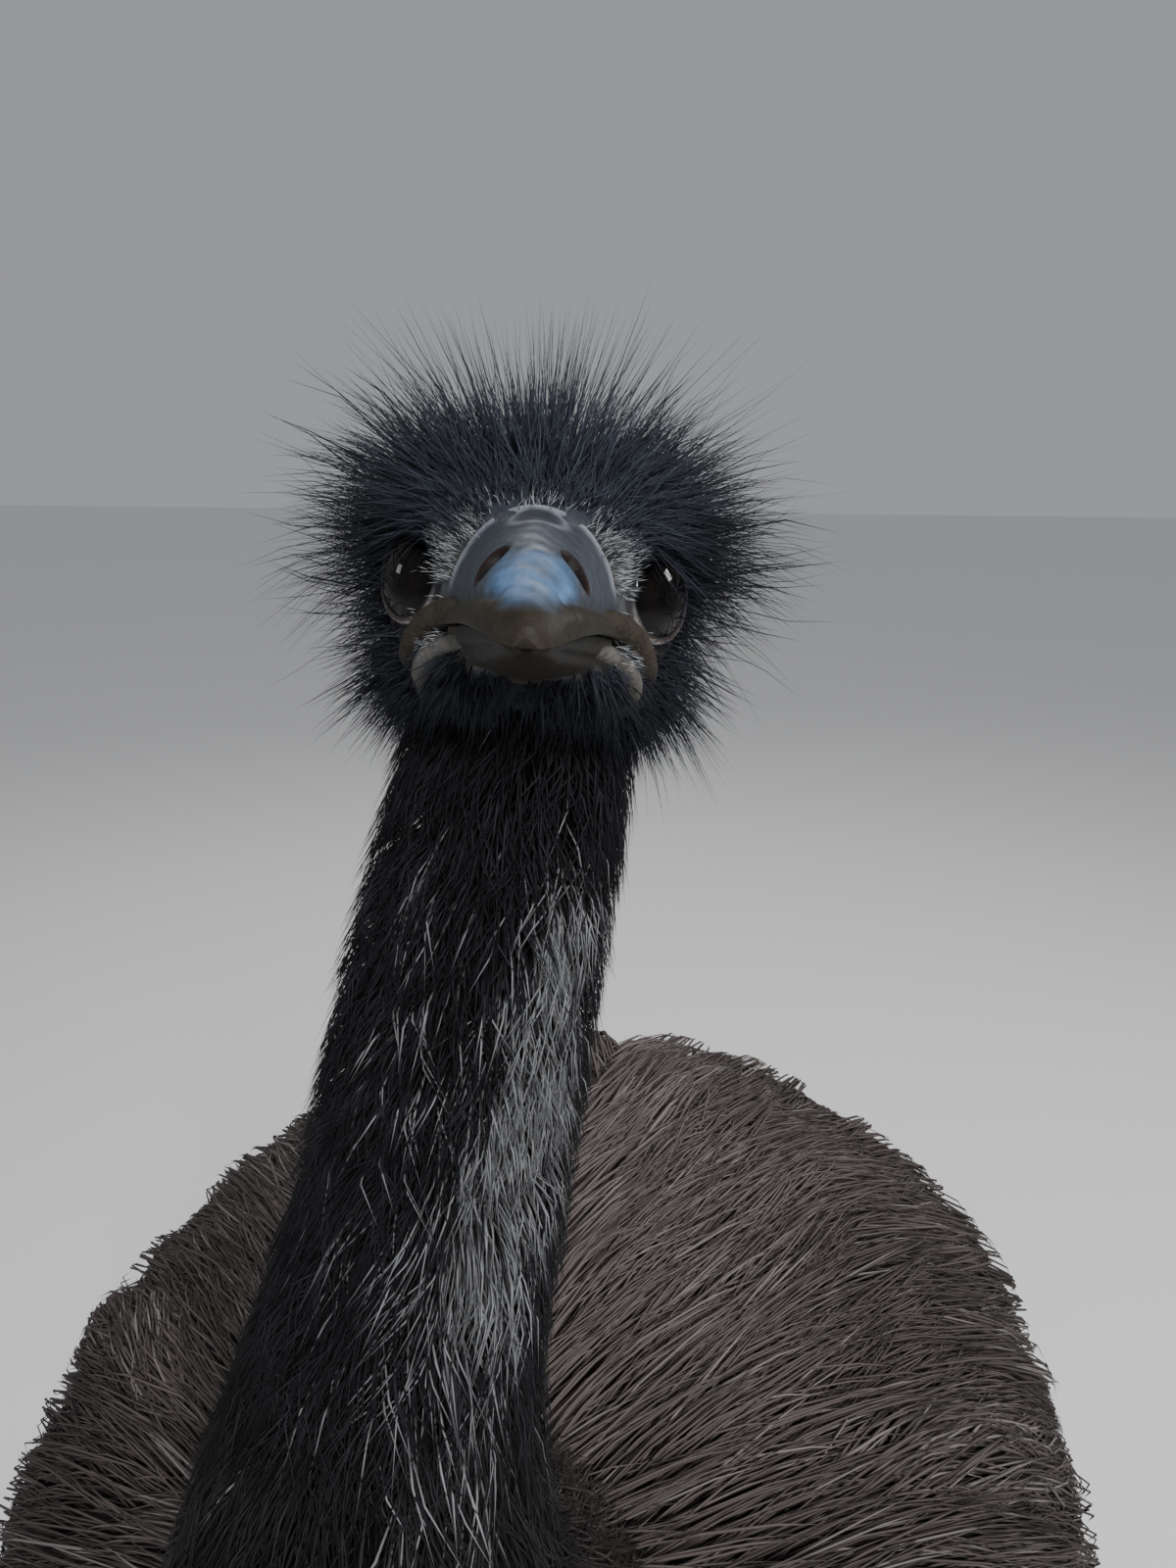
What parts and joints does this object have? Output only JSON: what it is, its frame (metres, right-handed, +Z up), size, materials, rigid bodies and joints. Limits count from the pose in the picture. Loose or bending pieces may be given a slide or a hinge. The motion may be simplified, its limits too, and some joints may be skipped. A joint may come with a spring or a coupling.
{
  "type": "emu",
  "caption": "Life-size standing emu with a raised neck, bristly crown, loose drooping body plumage, bare scaly shanks and clawed feet.",
  "frame": {"origin": "on the floor under the middle of the whole bird's box", "axes": "+Z up, -Y the way the breast faces, +X towards the bird's left side"},
  "size_m": [0.633, 0.8698, 1.2863],
  "materials": {
    "body_plumage": "loose matte feathers",
    "neck_plumage": "fine hair-like matte feathers",
    "crown_plumage": "black bristly feathers with a slight blue sheen",
    "face_skin": "bare slate-blue skin",
    "bill": "satin horn",
    "eye": "wet gloss",
    "leg_scales": "dry horny scales",
    "claw": "dull horn"
  },
  "bodies": {
    "root": {"head": "crown_plumage", "upper_bill": "bill", "lower_bill": "bill", "eye_left": "eye", "eye_right": "eye", "ear_left": "face_skin", "ear_right": "face_skin", "neck_upper": "neck_plumage", "neck_middle": "neck_plumage", "neck_base": "neck_plumage", "wing_left": "body_plumage", "wing_right": "body_plumage", "torso": "body_plumage", "tail": "body_plumage", "thigh_left": "body_plumage", "shank_left": "leg_scales", "foot_left": "leg_scales", "toe_middle_left": "leg_scales", "claw_middle_left": "claw", "toe_inner_left": "leg_scales", "claw_inner_left": "claw", "toe_outer_left": "leg_scales", "claw_outer_left": "claw", "thigh_right": "body_plumage", "shank_right": "leg_scales", "foot_right": "leg_scales", "toe_middle_right": "leg_scales", "claw_middle_right": "claw", "toe_inner_right": "leg_scales", "claw_inner_right": "claw", "toe_outer_right": "leg_scales", "claw_outer_right": "claw"}
  },
  "joints": []
}
